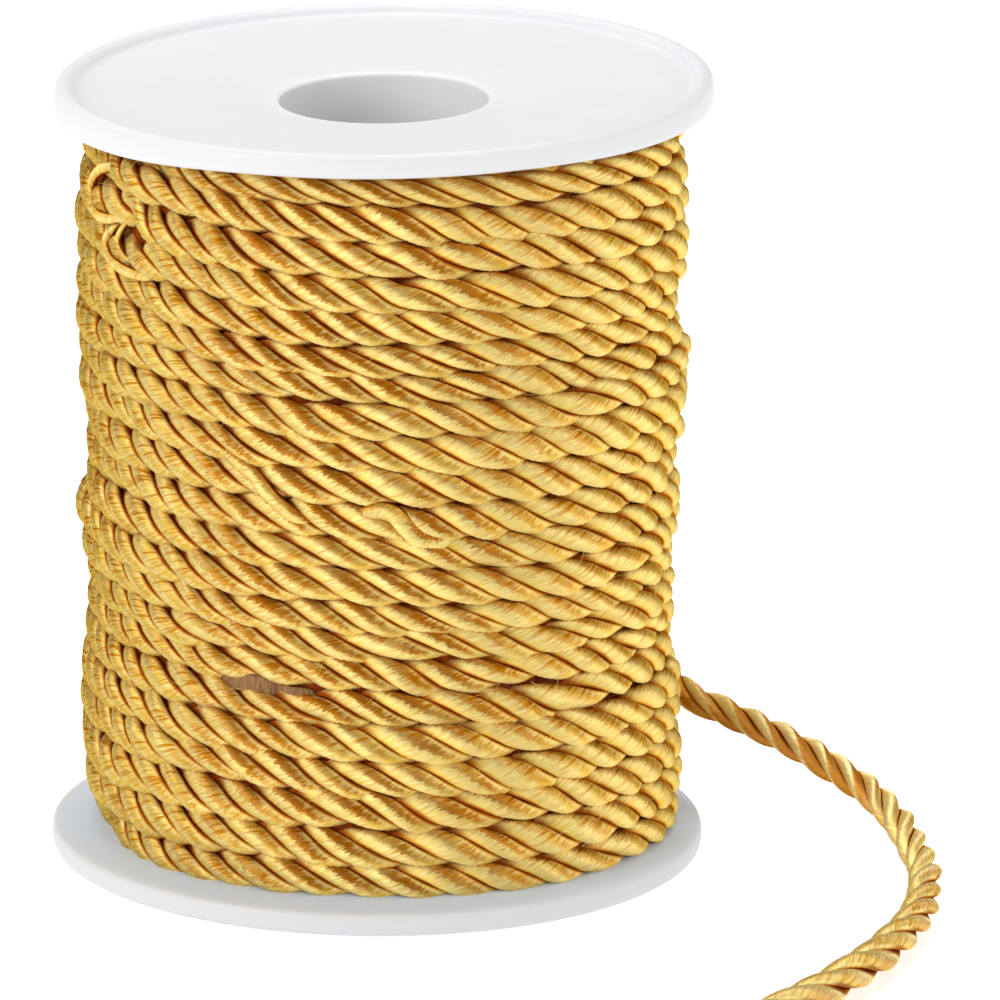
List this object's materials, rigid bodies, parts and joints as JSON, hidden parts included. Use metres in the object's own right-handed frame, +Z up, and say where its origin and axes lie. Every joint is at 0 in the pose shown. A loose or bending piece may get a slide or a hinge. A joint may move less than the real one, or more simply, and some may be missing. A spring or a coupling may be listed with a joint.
{
  "type": "twisted cord trim on a spool",
  "caption": "Satin rope cord of three twisted plies wound in close even rows on a flanged moulded spool with a bore right through, its loose end running off to one side.",
  "frame": {"origin": "centre of the spool's base, on the plane it stands on", "axes": "+Z up along the spool's axis; the side seen in the picture faces -Y and the loose end leaves on the +X side"},
  "size_m": [0.089, 0.1123, 0.0805],
  "materials": {
    "white_plastic": "smooth moulded white plastic with a soft shine",
    "gold_satin_winding": "gold satin filament, twisted",
    "gold_satin_tail": "gold satin filament, twisted"
  },
  "bodies": {
    "root": {"spool": "white_plastic", "cord_winding": "gold_satin_winding", "cord_tail": "gold_satin_tail"}
  },
  "joints": []
}
